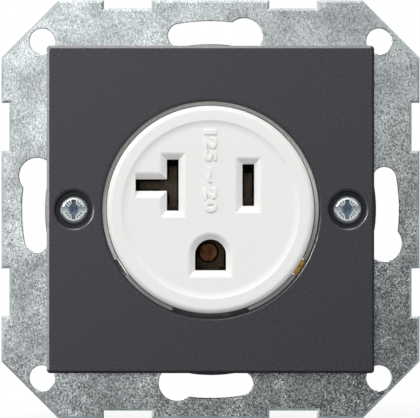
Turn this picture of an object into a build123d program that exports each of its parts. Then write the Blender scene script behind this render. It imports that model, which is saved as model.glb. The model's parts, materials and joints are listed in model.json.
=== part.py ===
from build123d import *
from math import atan2, cos, degrees, radians, sin
import os

# A flush wall socket: a sheet-steel support frame, a square centre cover held by two screws, and a
# round socket with two blade openings and an earth opening. The frame's back face lies on the wall.
# X runs to the right, Z runs up, and the socket faces -Y. Depths are millimetres in front of the
# wall, so what lies inside the wall box has a negative depth. Angles turn anticlockwise from +X as
# seen from the room.

# General fits
fit_gap = 0.3
slip_gap = 0.15
flush_gap = 0.05

# Socket face, the white moulding that the plug meets
face_r = 17.45
face_rim_width = 2.45
face_edge_round = 0.95
face_cove_width = 1.2
face_cove_round = 0.1
face_recess = 0.28
face_plate = 2.62
face_skirt_wall = 1.6
face_proud = 0.9

# Plug openings, with the blades' middle above the face's centre and the earth pin below it
blade_pitch = 12.7
blade_rise = 4.1
blade_slot = 1.98
line_slot_length = 7.03
neutral_slot_length = 8.6
neutral_arm_slot = 1.96
neutral_arm_length = 6.25
earth_drop = 7.63
earth_slot_r = 2.6
lead_in = 1.0
lead_in_ease = 0.3
lead_in_ease_depth = 0.12
earth_pin_length = 21.4
earth_pin_r = 2.4
blade_thickness = 1.6
pin_end_room = 1.72

# Socket base, the white ring round the face with its fixing flange
collar_wall = 0.6
collar_drop = 1.6
flange_thickness = 2.0
base_bore_wall = 2.25
spigot_depth = 1.0
key_notch_angle = 33.0
key_notch_width = 3.2
low_notch_half_angle = 21.0
low_notch_depth = 4.6

# Support frame, one blanked and bent steel sheet
frame_sheet = 1.2
frame_margin = 5.5
frame_corner_cut = 9.7
edge_roll_width = 0.4
edge_roll_depth = 0.1
hole_roll = 0.15
edge_notch_near = 10.0
edge_notch_length = 8.1
edge_notch_depth = 1.35
corner_hole_r = 2.13
corner_hole_inset = 6.9
box_screw_spacing = 60.0
keyhole_width = 4.0
keyhole_tail_angle = 10.0
keyhole_head_angle = 11.0
keyhole_head_r = 3.05
lug_angle = 50.0
lug_width = 5.0
lug_reach = 2.1
lug_root = 1.8
lug_bend = 0.9
lug_relief = 0.6

# Centre cover and its screws
cover_front = 10.2
cover_panel = 2.0
cover_wall = 1.5
cover_corner = 0.6
cover_edge_chamfer = 0.4
cover_rim_chamfer = 0.25
cover_hole_gap = 0.1
cover_lift = 0.2
cover_screw_inset = 4.5
cover_boss_wall = 1.02
nub_start = 3.4
nub_end = 5.0
nub_proud = 0.5
nub_root = 1.0
nub_height = 3.6
nub_slope = 0.4
cover_screw_r = 1.6
cover_head_r = 2.5
cover_head_top_r = 1.9
cover_head_height = 1.7
cover_head_rim = 0.6
cover_head_round = 0.3
cover_head_sink = 0.8
screw_slot_width = 1.0
screw_slot_depth = 0.6
screw_wing_length = 3.3
screw_wing_width = 0.75
screw_wing_depth = 1.0
screw_cross_r = 1.0
screw_cross_depth = 1.3
screw_cross_taper = 30.0
counterbore_gap = 0.68
screw_collar_wall = 0.9
screw_collar_height = 2.7
screw_collar_land = 2.4

# Rear housing, the dark moulding with the contacts and terminals
housing_wall = 2.15
housing_floor = 3.0
housing_edge = 0.8
chamber_half_width = 9.8
pillar_r = 2.4
pillar_gap = 0.4
pillar_angles = (68.0, 112.0, 232.0)
housing_screw_r = 1.2
housing_screw_bite = 6.0
housing_head_r = 2.2
housing_head_height = 1.7
housing_head_sink = 0.5

# Brass contacts, bent from one strip thickness
contact_sheet = 0.7
contact_bend = 0.8
contact_preload = 0.15
contact_flare = 0.8
contact_spread = 0.7
mouth_gap = 1.6
mouth_length = 2.7
leaf_width = 4.4
split_leaf_width = 1.7
split_leaf_offset = 2.55
arm_leaf_gap = 0.4
earth_leaf_gap = 0.82
earth_leaf_half = 2.3
earth_base_width = 4.6

# Screw terminals, each with a clamp plate that the screw draws outwards
terminal_inset = 1.0
terminal_half_width = 4.0
terminal_half_height = 4.4
terminal_lift = 5.0
terminal_drop = 2.4
terminal_screw_r = 1.75
terminal_head_r = 3.4
terminal_head_height = 2.3
terminal_head_round = 0.75
terminal_arm_half = 1.4
clamp_thickness = 1.0
clamp_half_height = 3.8
clamp_travel = 2.0
clamp_corner = 0.8
pocket_margin = 1.0
pocket_roof_gap = 1.4
wire_hole_r = 1.4
wire_offset = 3.0
wire_funnel = 0.5

# Earth strap from the earth terminal to the steel frame
strap_sheet = 0.8
strap_width = 2.8
strap_end = 2.0
strap_x = 2.6
strap_turn_inset = 2.4
strap_bend = 0.9
ear_height = 2.4
rivet_r = 0.7
rivet_head_r = 1.25
rivet_head_height = 0.5
frame_rivet_r = 1.0
frame_rivet_head_r = 1.9
frame_rivet_head_height = 0.7
earth_rivet_r = 0.9
earth_rivet_head_r = 1.8
earth_rivet_head_height = 0.7
earth_rivet_round = 0.35
earth_rivet_x = -0.4
earth_rivet_rise = 0.24

# Radii outwards from the face: collar, cover hole, flange, frame lugs, cover screws, cover and frame
face_recess_r = face_r - face_rim_width
collar_inner_r = face_r + slip_gap
collar_outer_r = collar_inner_r + collar_wall
cover_hole_r = collar_outer_r + cover_hole_gap
lug_tip_r = collar_outer_r + fit_gap
flange_r = lug_tip_r + lug_reach
lug_wall_r = flange_r + fit_gap + frame_sheet / 2
cover_screw_x = flange_r + screw_collar_land
screw_collar_r = cover_screw_r + slip_gap + screw_collar_wall
cover_size = 2 * (cover_screw_x + cover_screw_inset)
keyhole_r = box_screw_spacing / 2
frame_size = 2 * (keyhole_r + frame_margin)
corner_hole_spacing = frame_size - 2 * corner_hole_inset
housing_r = collar_inner_r + flush_gap
base_bore_r = housing_r - base_bore_wall
frame_opening_r = housing_r + fit_gap
chamber_r = housing_r - housing_wall
pillar_ring_r = base_bore_r - pillar_gap - pillar_r
terminal_plate_r = base_bore_r - terminal_inset
strap_turn_r = base_bore_r - strap_turn_inset

# Depths, from the room back into the wall box
rim_front = cover_front + face_proud
recess_front = rim_front - face_recess
plate_back = recess_front - face_plate
collar_top = cover_front - collar_drop
cover_back = frame_sheet + cover_lift
screw_collar_top = frame_sheet + screw_collar_height
flange_top = frame_sheet + flange_thickness
base_back = -spigot_depth
floor_front = recess_front - earth_pin_length - pin_end_room - contact_sheet
housing_back = floor_front - housing_floor
sheet_middle = floor_front + contact_sheet / 2
mouth_front = plate_back - mouth_gap
pinch_depth = mouth_front - mouth_length
terminal_depth = floor_front + terminal_lift
terminal_top = terminal_depth + terminal_half_height
pocket_roof = terminal_top + pocket_roof_gap

# Places of the openings and the terminals
line_x = blade_pitch / 2
neutral_x = -blade_pitch / 2
neutral_arm_end = neutral_x - neutral_arm_length
strap_angle = -key_notch_angle
terminal_inner_r = terminal_plate_r - contact_sheet / 2
terminal_outer_r = terminal_plate_r + contact_sheet / 2
clamp_outer_r = terminal_inner_r - slip_gap - clamp_travel
clamp_inner_r = clamp_outer_r - clamp_thickness
screw_tip_r = clamp_inner_r - slip_gap
earth_leaf_drop = screw_tip_r - earth_leaf_gap - earth_leaf_half
wire_r = (terminal_inner_r + clamp_outer_r) / 2
pocket_half_width = terminal_half_width + pocket_margin

socket_axis = Axis((0, 0, 0), (0, -1, 0))


def front_plane(depth):
    """Plane parallel to the wall that faces the room, so that extruding moves towards the room."""
    return Plane.XZ.offset(depth)


def section_plane(angle, x=0.0, z=0.0, depth=0.0):
    """Plane at right angles to the wall: x runs outwards at the angle and y towards the room."""
    outwards = Vector(cos(radians(angle)), 0, sin(radians(angle)))
    sideways = Vector(sin(radians(angle)), 0, -cos(radians(angle)))
    return Plane(origin=(x, -depth, z), x_dir=outwards, z_dir=sideways)


def across(section, distance):
    """Plane that a section plane's x axis pierces squarely at the distance."""
    return Plane(
        origin=section.origin + section.x_dir * distance,
        x_dir=-section.z_dir,
        z_dir=section.x_dir,
    )


def polar(radius, angle):
    return (radius * cos(radians(angle)), radius * sin(radians(angle)))


line_terminal = section_plane(0, z=-terminal_drop, depth=terminal_depth)
neutral_terminal = section_plane(180, z=-terminal_drop, depth=terminal_depth)
earth_terminal = section_plane(270, depth=terminal_depth)
terminals = {"line": line_terminal, "neutral": neutral_terminal, "earth": earth_terminal}
pillar_points = [polar(pillar_ring_r, angle) for angle in pillar_angles]
cover_screw_points = [(-cover_screw_x, 0), (cover_screw_x, 0)]


def save(builder, name):
    builder.part.label = name
    export_step(builder.part, f"parts/{name}.step")


os.makedirs("parts", exist_ok=True)


# Support frame: the blank with its rolled edge, then the slots, lugs and threaded collars
with BuildPart() as support_frame:
    with BuildSketch(front_plane(0)) as blank:
        Rectangle(frame_size, frame_size)
        chamfer(blank.vertices(), frame_corner_cut)
        with PolarLocations(frame_size / 2, 4):
            with GridLocations(0, 2 * edge_notch_near + edge_notch_length, 1, 2):
                Rectangle(2 * edge_notch_depth, edge_notch_length, mode=Mode.SUBTRACT)
    extrude(amount=frame_sheet)
    sheet_front = support_frame.faces().sort_by(socket_axis)[-1]
    chamfer(sheet_front.edges(), edge_roll_width, edge_roll_depth, reference=sheet_front)
    with BuildSketch(front_plane(0)):
        Circle(frame_opening_r)
        with GridLocations(corner_hole_spacing, corner_hole_spacing, 2, 2):
            Circle(corner_hole_r)
        with PolarLocations(keyhole_r, 4, start_angle=-keyhole_head_angle):
            Circle(keyhole_head_r)
    extrude(amount=frame_sheet, mode=Mode.SUBTRACT)
    keyhole_sweep = keyhole_head_angle + keyhole_tail_angle
    for quarter in range(4):
        with BuildSketch(front_plane(0)):
            with BuildLine():
                CenterArc((0, 0), keyhole_r, 90 * quarter - keyhole_head_angle, keyhole_sweep)
            trace(line_width=keyhole_width)
            with PolarLocations(keyhole_r, 1, start_angle=90 * quarter + keyhole_tail_angle):
                Circle(keyhole_width / 2)
        extrude(amount=frame_sheet, mode=Mode.SUBTRACT)
    fillet(support_frame.faces().sort_by(socket_axis)[-1].inner_wires().edges(), hole_roll)
    lug_angles = [lug_angle, 180 - lug_angle, 180 + lug_angle, -lug_angle]
    lug_root_r = lug_wall_r - lug_root
    lug_depth = flange_top + flush_gap + frame_sheet / 2
    window_length = lug_depth + lug_wall_r - lug_tip_r
    with BuildSketch(front_plane(0)):
        for angle in lug_angles:
            window_middle = lug_wall_r - lug_bend + window_length / 2
            with PolarLocations(window_middle, 1, start_angle=angle):
                Rectangle(window_length, lug_width + 2 * lug_relief)
    extrude(amount=frame_sheet, mode=Mode.SUBTRACT)
    for angle in lug_angles:
        with BuildSketch(section_plane(angle)):
            with BuildLine():
                FilletPolyline(
                    (lug_root_r, frame_sheet / 2),
                    (lug_wall_r, frame_sheet / 2),
                    (lug_wall_r, lug_depth),
                    (lug_tip_r, lug_depth),
                    radius=lug_bend,
                )
            trace(line_width=frame_sheet)
        extrude(amount=lug_width / 2, both=True)
    with BuildSketch(front_plane(0)):
        with Locations(*cover_screw_points):
            Circle(screw_collar_r)
    extrude(amount=screw_collar_top)
    with BuildSketch(front_plane(0)):
        with Locations(*cover_screw_points):
            Circle(cover_screw_r + slip_gap)
    extrude(amount=screw_collar_top, mode=Mode.SUBTRACT)
    frame_rivet_x, frame_rivet_z = polar(flange_r + strap_end, strap_angle)
    with Locations(front_plane(0).rotated((180, 0, 0))):
        with Locations((frame_rivet_x, -frame_rivet_z)):
            CounterSinkHole(frame_rivet_r + flush_gap, frame_rivet_head_r, depth=frame_sheet)
save(support_frame, "support_frame")


# Outline of a locating nub on the cover's side, with a steep start and a long run-out
with BuildSketch() as nub:
    with BuildLine():
        nub_arc = ThreePointArc((nub_proud / 2, -nub_start), (nub_proud, 0), (0, nub_end))
        Polyline(nub_arc @ 1, (-nub_root, nub_end), (-nub_root, -nub_start), nub_arc @ 0)
    make_face()


# Cover: a shallow square cap with screw bosses inside and a locating nub on each side
with BuildPart() as cover_plate:
    with BuildSketch(front_plane(cover_back)):
        RectangleRounded(cover_size, cover_size, cover_corner)
    extrude(amount=cover_front - cover_back)
    chamfer(cover_plate.faces().sort_by(socket_axis)[-1].edges(), cover_edge_chamfer)
    cover_inside = cover_size - 2 * cover_wall
    counterbore_r = cover_head_r + counterbore_gap
    with BuildSketch(front_plane(cover_back)):
        Rectangle(cover_inside, cover_inside)
        with Locations(*cover_screw_points):
            Circle(screw_collar_r + fit_gap)
    extrude(amount=screw_collar_top - cover_back, mode=Mode.SUBTRACT)
    with BuildSketch(front_plane(screw_collar_top)):
        Rectangle(cover_inside, cover_inside)
        with Locations(*cover_screw_points):
            Circle(counterbore_r + cover_boss_wall, mode=Mode.SUBTRACT)
    extrude(amount=cover_front - cover_panel - screw_collar_top, mode=Mode.SUBTRACT)
    nub_shoulder = nub_height - nub_slope
    for depth, height, taper in ((cover_back, nub_shoulder, 0), (cover_back + nub_shoulder, nub_slope, 45)):
        with BuildSketch(front_plane(depth)):
            with PolarLocations(cover_size / 2, 4):
                add(nub.sketch)
        extrude(amount=height, taper=taper)
    with BuildSketch(front_plane(cover_back)):
        Circle(cover_hole_r)
    extrude(amount=cover_front - cover_back, mode=Mode.SUBTRACT)
    with Locations(front_plane(cover_front)):
        with Locations(*cover_screw_points):
            CounterBoreHole(
                cover_screw_r + fit_gap, counterbore_r, cover_head_sink + cover_head_height
            )
    chamfer(cover_plate.faces().sort_by(socket_axis)[-1].inner_wires().edges(), cover_rim_chamfer)
save(cover_plate, "cover_plate")


def cut_drive(plane, head_r):
    """Cut a full-width slot and a deeper cross recess into the screw head that is being built."""
    with BuildSketch(plane) as slot:
        Rectangle(2 * head_r, screw_slot_width)
    extrude(slot.sketch, amount=-screw_slot_depth, mode=Mode.SUBTRACT)
    with BuildSketch(plane) as wings:
        Rectangle(screw_wing_width, screw_wing_length)
    extrude(wings.sketch, amount=-screw_wing_depth, mode=Mode.SUBTRACT)
    with BuildSketch(plane) as centre:
        Circle(screw_cross_r)
    extrude(centre.sketch, amount=-screw_cross_depth, taper=screw_cross_taper, mode=Mode.SUBTRACT)


# Cover screws: pan heads with a full-width slot and a cross recess
with BuildPart() as cover_screws:
    for x, z in cover_screw_points:
        head_top = cover_front - cover_head_sink
        head_seat = head_top - cover_head_height
        with BuildSketch(section_plane(0, x=x, z=z)) as screw_half:
            with BuildLine():
                Polyline(
                    (0, flush_gap),
                    (cover_screw_r, flush_gap),
                    (cover_screw_r, head_seat),
                    (cover_head_r, head_seat),
                    (cover_head_r, head_seat + cover_head_rim),
                    (cover_head_top_r, head_top),
                    (0, head_top),
                    close=True,
                )
            make_face()
            head_corner = screw_half.vertices().group_by(Axis.Y)[-1].sort_by(Axis.X)[-1]
            fillet(head_corner, cover_head_round)
        revolve(axis=Axis((x, 0, z), socket_axis.direction))
        cut_drive(front_plane(head_top).shift_origin((x, -head_top, z)), cover_head_r)
save(cover_screws, "cover_screws")


def lead_in_cutter(rim, depth, taper):
    """Slopes round the openings, wider by the rim in front; the T's arm has none at its outer end."""
    with BuildPart() as cutter:
        with BuildSketch(front_plane(recess_front)) as upright:
            with Locations((line_x, blade_rise)):
                Rectangle(blade_slot + 2 * rim, line_slot_length + 2 * rim)
            with Locations((neutral_x, blade_rise)):
                Rectangle(blade_slot + 2 * rim, neutral_slot_length + 2 * rim)
            with Locations((0, -earth_drop)):
                Circle(earth_slot_r + rim)
                Rectangle(
                    2 * (earth_slot_r + rim), earth_slot_r + rim, align=(Align.CENTER, Align.MAX)
                )
        with BuildSketch(front_plane(recess_front)) as arm:
            with Locations((neutral_x + blade_slot / 2 + rim, blade_rise)):
                Rectangle(
                    blade_slot / 2 + neutral_arm_length + 3 * rim,
                    neutral_arm_slot + 2 * rim,
                    align=(Align.MAX, Align.CENTER),
                )
        for outline in (upright.sketch, arm.sketch):
            extrude(outline, amount=-depth, taper=taper)
            extrude(outline, amount=face_recess)
        split(bisect_by=Plane.YZ.offset(neutral_arm_end), keep=Keep.TOP)
    return cutter.part


# Socket face: a turned cup with the openings, their lead-ins and the screw bosses
with BuildPart() as socket_face:
    with BuildSketch(section_plane(0)) as face_section:
        with BuildLine():
            cove_foot = (face_recess_r - face_cove_width, recess_front)
            cove_top = (face_recess_r, rim_front)
            TangentArc(cove_foot, cove_top, tangent=(1, 0))
            Polyline(
                cove_top,
                (face_r, rim_front),
                (face_r, flange_top),
                (face_r - face_skirt_wall, flange_top),
                (face_r - face_skirt_wall, plate_back),
                (0, plate_back),
                (0, recess_front),
                cove_foot,
            )
        make_face()
        rim_corners = face_section.vertices().group_by(Axis.Y)[-1].sort_by(Axis.X)
        fillet(rim_corners[-1], face_edge_round)
        fillet(rim_corners[0], face_cove_round)
    revolve(axis=socket_axis)
    with BuildSketch(front_plane(plate_back)):
        with Locations(*pillar_points):
            Circle(pillar_r)
    extrude(amount=base_back - plate_back)
    with BuildSketch(front_plane(base_back)):
        with Locations(*pillar_points):
            Circle(housing_screw_r)
    extrude(amount=housing_screw_bite + slip_gap, mode=Mode.SUBTRACT)
    with BuildSketch(front_plane(rim_front)):
        with Locations((line_x, blade_rise)):
            Rectangle(blade_slot, line_slot_length)
        with Locations((neutral_x, blade_rise)):
            Rectangle(blade_slot, neutral_slot_length)
            Rectangle(
                neutral_arm_length, neutral_arm_slot, align=(Align.MAX, Align.CENTER)
            )
        with Locations((0, -earth_drop)):
            Circle(earth_slot_r)
            Rectangle(2 * earth_slot_r, earth_slot_r, align=(Align.CENTER, Align.MAX))
    extrude(amount=plate_back - rim_front, mode=Mode.SUBTRACT)
    add(lead_in_cutter(lead_in, lead_in, 45), mode=Mode.SUBTRACT)
    ease_rim = lead_in - lead_in_ease_depth + lead_in_ease
    ease_taper = degrees(atan2(lead_in_ease, lead_in_ease_depth))
    add(lead_in_cutter(ease_rim, lead_in_ease_depth, ease_taper), mode=Mode.SUBTRACT)
save(socket_face, "socket_face")


# Socket base: a turned ring with collar, flange and spigot, notched for keying and for the strap
with BuildPart() as socket_base:
    with BuildSketch(section_plane(0)):
        with BuildLine():
            Polyline(
                (base_bore_r, base_back),
                (housing_r, base_back),
                (housing_r, frame_sheet),
                (flange_r, frame_sheet),
                (flange_r, flange_top),
                (collar_outer_r, flange_top),
                (collar_outer_r, collar_top),
                (collar_inner_r, collar_top),
                (collar_inner_r, flange_top),
                (base_bore_r, flange_top),
                close=True,
            )
        make_face()
    revolve(axis=socket_axis)
    with BuildSketch(section_plane(270 - low_notch_half_angle)):
        with Locations(((collar_inner_r + collar_outer_r) / 2, collar_top)):
            Rectangle(2 * collar_wall, 2 * low_notch_depth)
    revolve(
        axis=socket_axis, revolution_arc=2 * low_notch_half_angle, mode=Mode.SUBTRACT
    )
    with BuildSketch(front_plane(frame_sheet)):
        notch_end = flange_r + fit_gap
        notch_align = (Align.MAX, Align.CENTER)
        with PolarLocations(notch_end, 1, start_angle=180 + key_notch_angle):
            Rectangle(notch_end - collar_inner_r, key_notch_width, align=notch_align)
        with PolarLocations(notch_end, 1, start_angle=strap_angle):
            Rectangle(notch_end - strap_turn_r, key_notch_width, align=notch_align)
        with Locations(*cover_screw_points):
            Circle(screw_collar_r + fit_gap)
    extrude(amount=collar_top - frame_sheet, mode=Mode.SUBTRACT)
save(socket_base, "socket_base")


# Rear housing: a round pot with a contact chamber, three open terminal pockets and wire entries
with BuildPart() as rear_housing:
    with BuildSketch(front_plane(housing_back)):
        Circle(housing_r)
    extrude(amount=base_back - housing_back)
    chamfer(rear_housing.faces().sort_by(socket_axis)[0].edges(), housing_edge)
    with BuildSketch(front_plane(floor_front)):
        Circle(chamber_r)
        Rectangle(2 * chamber_half_width, 2 * chamber_r, mode=Mode.INTERSECT)
        with Locations(*pillar_points):
            Circle(pillar_r, mode=Mode.SUBTRACT)
    extrude(amount=base_back - floor_front, mode=Mode.SUBTRACT)
    arm_well_half = neutral_arm_slot / 2 + contact_sheet + contact_spread + fit_gap
    with BuildSketch(front_plane(floor_front)):
        with Locations((neutral_arm_end - fit_gap, blade_rise)):
            Rectangle(
                neutral_x - neutral_arm_end + fit_gap,
                2 * arm_well_half,
                align=(Align.MIN, Align.CENTER),
            )
    extrude(amount=base_back - floor_front, mode=Mode.SUBTRACT)
    pocket_floor = floor_front - terminal_depth
    pocket_inner_r = screw_tip_r - slip_gap
    for name, terminal in terminals.items():
        pocket_top = base_back if name == "earth" else pocket_roof
        with BuildSketch(terminal):
            with Locations((pocket_inner_r, pocket_floor)):
                Rectangle(
                    housing_r - pocket_inner_r,
                    pocket_top - floor_front,
                    align=(Align.MIN, Align.MIN),
                )
        extrude(amount=pocket_half_width, both=True, mode=Mode.SUBTRACT)
        with BuildSketch(terminal):
            with Locations((pocket_inner_r, pocket_floor)):
                Rectangle(
                    pocket_inner_r - line_x,
                    contact_sheet + slip_gap,
                    align=(Align.MAX, Align.MIN),
                )
        extrude(amount=terminal_arm_half + slip_gap, both=True, mode=Mode.SUBTRACT)
    wire_points = []
    for terminal in terminals.values():
        for side in (-1, 1):
            entry = terminal.origin + terminal.x_dir * wire_r + terminal.z_dir * side * wire_offset
            wire_points.append((entry.X, entry.Z))
    with Locations(front_plane(housing_back).rotated((180, 0, 0))):
        with Locations(*[(x, -z) for x, z in wire_points]):
            CounterSinkHole(wire_hole_r, wire_hole_r + wire_funnel, depth=housing_floor)
        with Locations(*[(x, -z) for x, z in pillar_points]):
            CounterBoreHole(
                housing_screw_r + slip_gap,
                housing_head_r + fit_gap,
                housing_head_height + housing_head_sink,
            )
        with Locations((earth_rivet_x, earth_leaf_drop - earth_rivet_rise)):
            CounterBoreHole(
                earth_rivet_r + flush_gap,
                earth_rivet_head_r + fit_gap,
                earth_rivet_head_height + flush_gap,
            )
save(rear_housing, "rear_housing")


# Housing screws, from the back through the pillars into the face's bosses
with BuildPart() as housing_screws:
    for x, z in pillar_points:
        head_front = housing_back + housing_head_sink + housing_head_height
        with BuildSketch(section_plane(0, x=x, z=z)):
            with BuildLine():
                Polyline(
                    (0, head_front - housing_head_height),
                    (housing_head_r, head_front - housing_head_height),
                    (housing_head_r, head_front),
                    (housing_screw_r, head_front),
                    (housing_screw_r, base_back + housing_screw_bite),
                    (0, base_back + housing_screw_bite),
                    close=True,
                )
            make_face()
        revolve(axis=Axis((x, 0, z), socket_axis.direction))
        with BuildSketch(front_plane(head_front - housing_head_height)):
            with Locations((x, z)):
                Rectangle(2 * housing_head_r, screw_slot_width)
        extrude(amount=screw_slot_depth, mode=Mode.SUBTRACT)
save(housing_screws, "housing_screws")


def spring_leaf(half_gap, side):
    """Middle line of one spring leaf, from the strip's base out to its flared mouth."""
    return [
        (0, sheet_middle),
        (side * (half_gap + contact_spread), sheet_middle),
        (side * half_gap, pinch_depth),
        (side * (half_gap + contact_flare), mouth_front),
    ]


def bend_leaf(section, half_gap, side, width, offset=0.0):
    """Add one spring leaf of the given width to the contact that is being built."""
    with BuildSketch(section.offset(offset)) as leaf:
        with BuildLine():
            FilletPolyline(*spring_leaf(half_gap, side), radius=contact_bend)
        trace(line_width=contact_sheet)
    extrude(leaf.sketch, amount=width / 2, both=True)


def bend_terminal(terminal, root_r, ear=None):
    """Add the arm along the floor and the upright terminal plate with its screw hole."""
    floor_line = sheet_middle - terminal_depth
    plate_foot = floor_line + contact_bend
    with BuildSketch(terminal) as arm:
        with BuildLine():
            FilletPolyline(
                (root_r, floor_line),
                (terminal_plate_r, floor_line),
                (terminal_plate_r, plate_foot + contact_sheet),
                radius=contact_bend,
            )
        trace(line_width=contact_sheet)
    extrude(arm.sketch, amount=terminal_arm_half, both=True)
    with BuildSketch(across(terminal, terminal_inner_r)) as plate:
        with Locations((0, plate_foot)):
            Rectangle(
                2 * terminal_half_width,
                terminal_half_height - plate_foot,
                align=(Align.CENTER, Align.MIN),
            )
        if ear is not None:
            with Locations((ear, terminal_half_height)):
                Rectangle(strap_width, ear_height, align=(Align.CENTER, Align.MIN))
        Circle(terminal_screw_r + fit_gap, mode=Mode.SUBTRACT)
    extrude(plate.sketch, amount=contact_sheet)


blade_gap = blade_thickness / 2 - contact_preload + contact_sheet / 2
earth_gap = earth_pin_r - contact_preload + contact_sheet / 2
blade_foot = blade_gap + contact_spread
earth_foot = earth_gap + contact_spread
ear_rivet_depth = terminal_top + ear_height / 2
ear_axis_plane = section_plane(270, x=strap_x, depth=ear_rivet_depth)

# Line contact: a pair of leaves on a base strip that runs out to its terminal
with BuildPart() as line_contact:
    leaves = section_plane(0, x=line_x, z=blade_rise)
    for side in (-1, 1):
        bend_leaf(leaves, blade_gap, side, leaf_width)
    with BuildSketch(front_plane(floor_front)):
        with Locations((line_x, blade_rise + leaf_width / 2)):
            Rectangle(
                2 * (blade_foot - contact_bend),
                leaf_width / 2 + blade_rise + terminal_drop + terminal_arm_half,
                align=(Align.CENTER, Align.MAX),
            )
    extrude(amount=contact_sheet)
    bend_terminal(line_terminal, line_x)
save(line_contact, "line_contact")


# Neutral contact: the outer leaf is split so that a blade lying across the slot can enter the arm
with BuildPart() as neutral_contact:
    upright = section_plane(0, x=neutral_x, z=blade_rise)
    bend_leaf(upright, blade_gap, 1, 2 * split_leaf_offset + split_leaf_width)
    for offset in (-split_leaf_offset, split_leaf_offset):
        bend_leaf(upright, blade_gap, -1, split_leaf_width, offset)
    arm_leaf_outer = neutral_arm_end + arm_leaf_gap
    arm_leaf_inner = neutral_x - blade_foot - contact_sheet / 2 - flush_gap
    arm_leaf_middle = (arm_leaf_outer + arm_leaf_inner) / 2
    level = section_plane(90, x=arm_leaf_middle, z=blade_rise)
    for side in (-1, 1):
        bend_leaf(level, blade_gap, side, arm_leaf_inner - arm_leaf_outer)
    with BuildSketch(front_plane(floor_front)):
        with Locations((neutral_x + blade_foot - contact_bend, blade_rise)):
            Rectangle(
                neutral_x + blade_foot - contact_bend - arm_leaf_outer,
                2 * (blade_foot - contact_bend),
                align=(Align.MAX, Align.CENTER),
            )
        with Locations((neutral_x, blade_rise + split_leaf_offset + split_leaf_width / 2)):
            Rectangle(
                2 * (blade_foot - contact_bend),
                split_leaf_offset
                + split_leaf_width / 2
                + blade_rise
                + terminal_drop
                + terminal_arm_half,
                align=(Align.CENTER, Align.MAX),
            )
    extrude(amount=contact_sheet)
    bend_terminal(neutral_terminal, -neutral_x)
save(neutral_contact, "neutral_contact")


# Earth contact: leaves each side of the pin, a rivet hole, and an ear for the strap
with BuildPart() as earth_contact:
    leaves = section_plane(0, z=-earth_leaf_drop)
    for side in (-1, 1):
        bend_leaf(leaves, earth_gap, side, 2 * earth_leaf_half)
    with BuildSketch(front_plane(floor_front)):
        with Locations((0, -earth_leaf_drop)):
            Rectangle(2 * (earth_foot - contact_bend), earth_base_width)
    extrude(amount=contact_sheet)
    bend_terminal(earth_terminal, earth_leaf_drop, ear=strap_x)
    with BuildSketch(front_plane(floor_front)):
        with Locations((earth_rivet_x, earth_rivet_rise - earth_leaf_drop)):
            Circle(earth_rivet_r + flush_gap)
    extrude(amount=contact_sheet, mode=Mode.SUBTRACT)
    with Locations(across(ear_axis_plane, terminal_outer_r)):
        CounterSinkHole(rivet_r + flush_gap, rivet_head_r, depth=contact_sheet)
save(earth_contact, "earth_contact")


# Earth rivet, whose round head shows at the bottom of the earth opening
with BuildPart() as earth_rivet:
    rivet_top = floor_front + contact_sheet + earth_rivet_head_height
    rivet_back = housing_back + earth_rivet_head_height
    rivet_z = earth_rivet_rise - earth_leaf_drop
    with BuildSketch(section_plane(0, x=earth_rivet_x, z=rivet_z)) as rivet_half:
        with BuildLine():
            Polyline(
                (0, rivet_back - earth_rivet_head_height + flush_gap),
                (earth_rivet_head_r, rivet_back - earth_rivet_head_height + flush_gap),
                (earth_rivet_head_r, rivet_back + flush_gap),
                (earth_rivet_r, rivet_back + flush_gap),
                (earth_rivet_r, floor_front + contact_sheet),
                (earth_rivet_head_r, floor_front + contact_sheet),
                (earth_rivet_head_r, rivet_top),
                (0, rivet_top),
                close=True,
            )
        make_face()
        head_corner = rivet_half.vertices().group_by(Axis.Y)[-1].sort_by(Axis.X)[-1]
        fillet(head_corner, earth_rivet_round)
    revolve(axis=Axis((earth_rivet_x, 0, rivet_z), socket_axis.direction))
save(earth_rivet, "earth_rivet")


# Earth strap: lies on the frame, passes the collar's notch and folds down onto the terminal's ear
strap_depth = frame_sheet + strap_sheet / 2
strap_tab_r = terminal_inner_r - strap_sheet / 2
strap_turn = polar(strap_turn_r, strap_angle)
strap_low = (strap_x, -strap_tab_r + strap_bend + strap_sheet)
with BuildPart() as earth_strap:
    with BuildSketch(front_plane(frame_sheet)):
        with BuildLine():
            Polyline(
                polar(flange_r + 2 * strap_end, strap_angle),
                strap_turn,
                strap_low,
                (strap_x, -strap_tab_r + strap_bend),
            )
        trace(line_width=strap_width)
        with Locations((frame_rivet_x, frame_rivet_z)):
            Circle(frame_rivet_r + flush_gap, mode=Mode.SUBTRACT)
    extrude(amount=strap_sheet)
    with BuildSketch(section_plane(270, x=strap_x)):
        with BuildLine():
            FilletPolyline(
                (-strap_low[1], strap_depth),
                (strap_tab_r, strap_depth),
                (strap_tab_r, terminal_top + flush_gap),
                radius=strap_bend,
            )
        trace(line_width=strap_sheet)
    extrude(amount=strap_width / 2, both=True)
    with BuildSketch(across(ear_axis_plane, strap_tab_r - strap_sheet)):
        Circle(rivet_r + flush_gap)
    extrude(amount=2 * strap_sheet, mode=Mode.SUBTRACT)
save(earth_strap, "earth_strap")


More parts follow.
